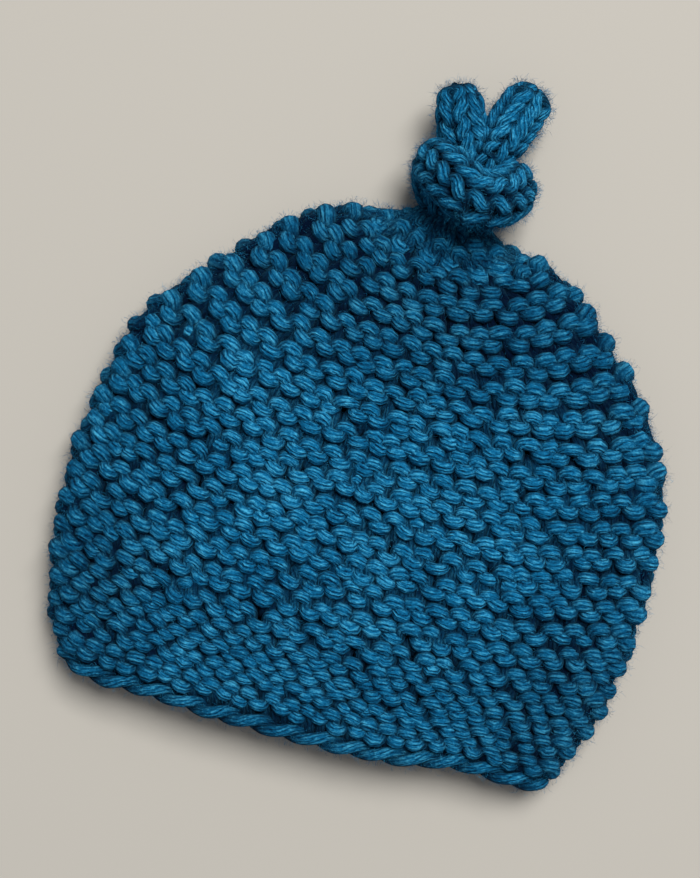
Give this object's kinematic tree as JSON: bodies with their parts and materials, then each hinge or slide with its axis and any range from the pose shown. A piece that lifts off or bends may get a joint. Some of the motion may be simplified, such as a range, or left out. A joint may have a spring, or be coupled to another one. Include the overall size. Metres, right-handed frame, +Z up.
{
  "type": "top knot beanie",
  "caption": "Baby's teal hand-knitted garter stitch beanie lying flat, its crown ending in two knitted cords tied in a knot with two little ears.",
  "frame": {"origin": "on the surface that the hat lies on, under the middle of its box", "axes": "+Z up from that surface, -Y out of the head opening, +Y along the hat to the knot, +X to the right seen from above"},
  "size_m": [0.1682, 0.1962, 0.0305],
  "materials": {
    "teal_wool": "matt hand-knitted wool with a fine halo of fibres"
  },
  "bodies": {
    "root": {"garter_body": "teal_wool", "cast_on_edge": "teal_wool", "left_cord": "teal_wool", "right_cord": "teal_wool"}
  },
  "joints": []
}
